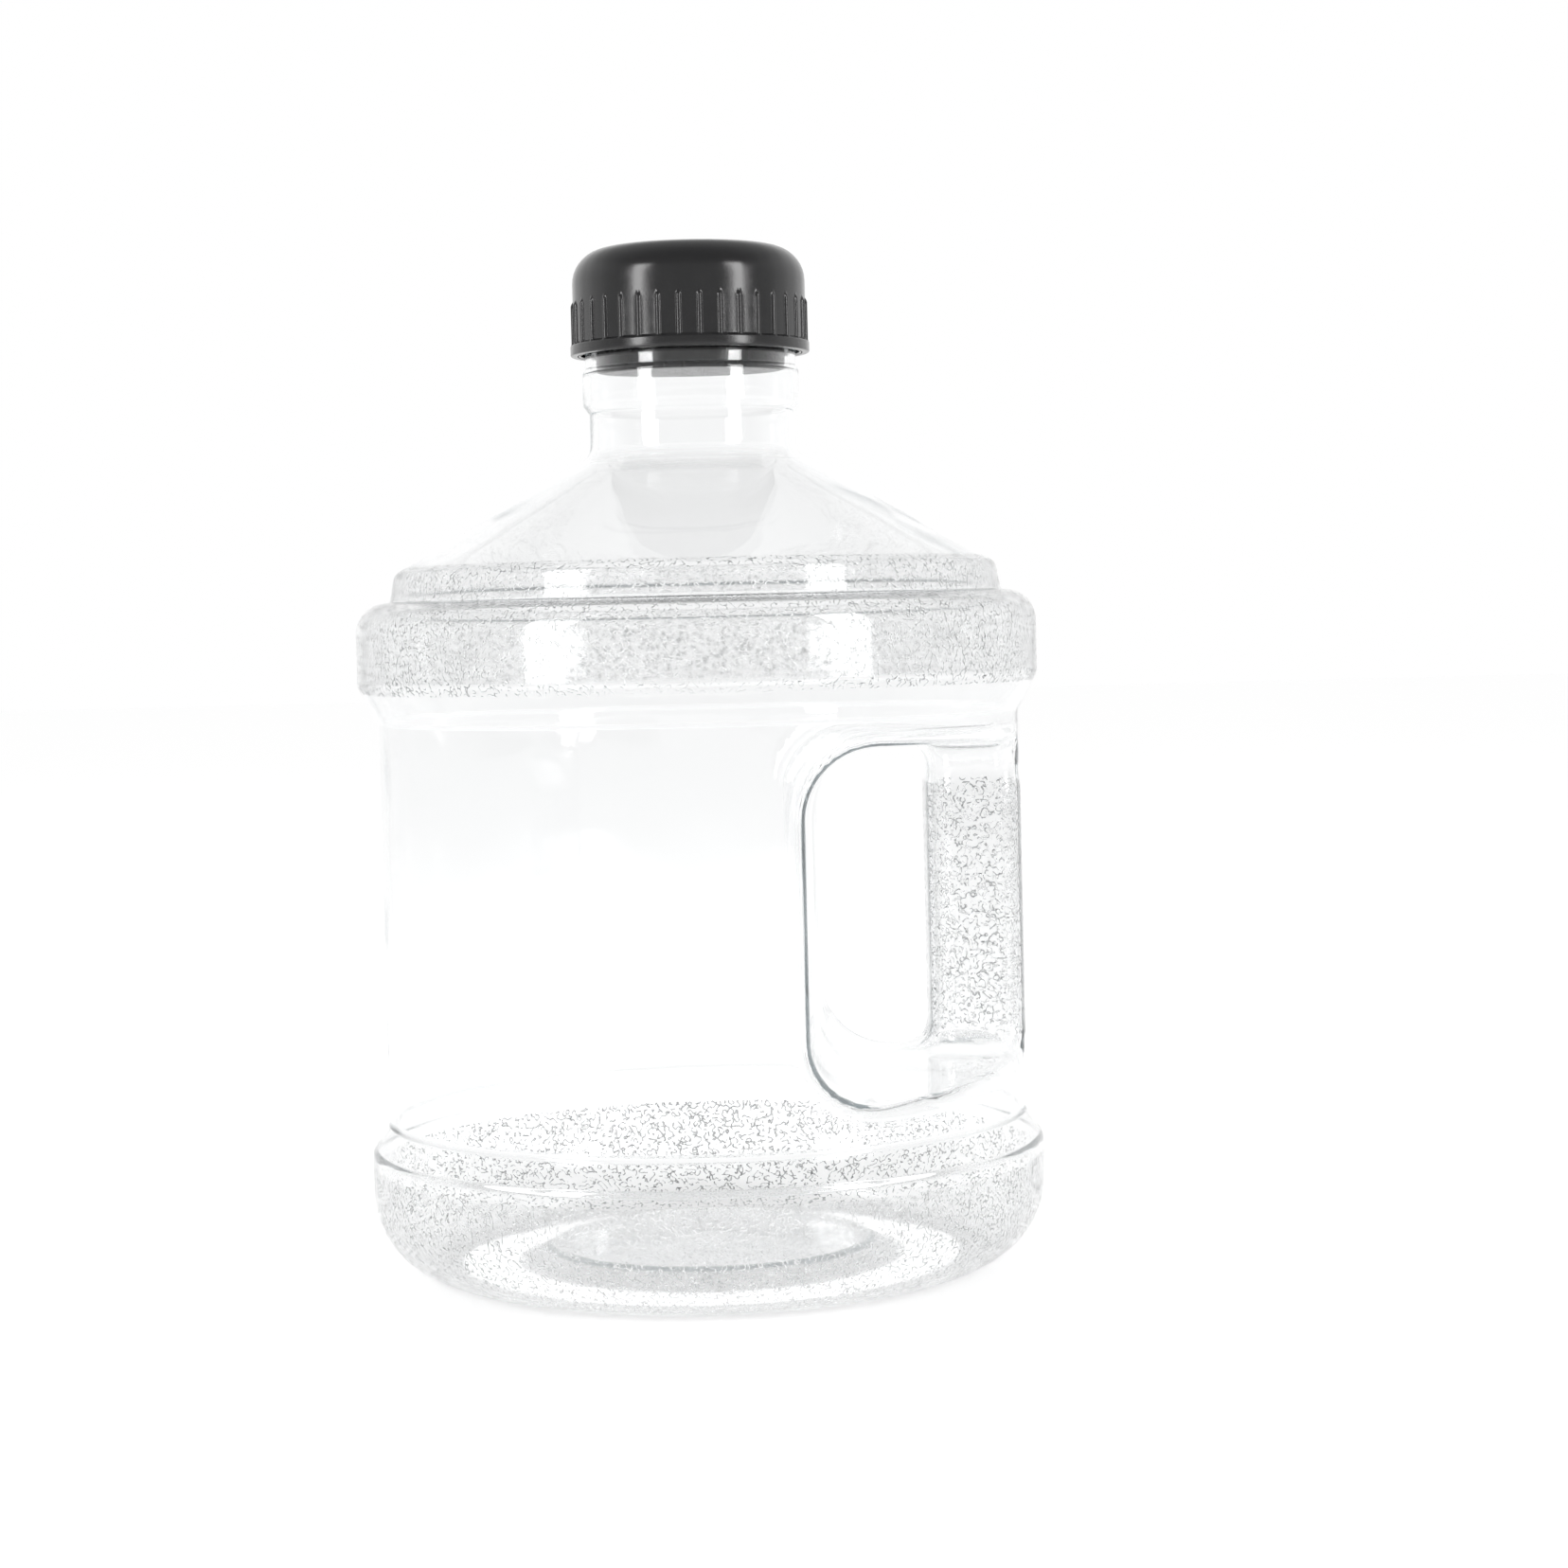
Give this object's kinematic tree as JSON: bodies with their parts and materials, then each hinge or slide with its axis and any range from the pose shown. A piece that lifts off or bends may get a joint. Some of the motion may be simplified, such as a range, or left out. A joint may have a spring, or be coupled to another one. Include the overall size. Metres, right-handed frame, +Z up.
{
  "type": "large water jug",
  "caption": "Clear round water jug with a hollow handle blown into its side, textured shoulder and base bands, and a ribbed screw cap over a lift-out plug.",
  "frame": {"origin": "centre of the standing ring, on the surface that the jug stands on", "axes": "+Z up along the neck's axis, +X from the axis towards the handle, +Y towards the back"},
  "size_m": [0.17, 0.17, 0.255],
  "materials": {
    "clear_plastic": "clear, glossy, colourless; fine worm-grain texture on the two shoulder rings, the handle grip and the base",
    "cap_plastic": "semi-gloss dark grey injection moulding",
    "plug_plastic": "semi-gloss dark grey injection moulding",
    "gasket_rubber": "matt translucent grey silicone"
  },
  "bodies": {
    "bottle": {"bottle_body": "clear_plastic"},
    "plug": {"inner_plug": "plug_plastic", "rim_gasket": "gasket_rubber"},
    "cap": {"cap_shell": "cap_plastic"}
  },
  "joints": [
    {"name": "cap_rise", "type": "slide", "parent": "bottle", "child": "plug", "axis": [0, 0, 1], "range_m": [0, 0.03]},
    {"name": "cap_turn", "type": "hinge", "parent": "plug", "child": "cap", "pos_m": [0, 0, 0.24], "axis": [0, 0, 1], "range_deg": [0, 2160]}
  ],
  "couplings": [
    {"joint": "cap_rise", "follows": "cap_turn", "m_per_rad": 0.00079577}
  ]
}
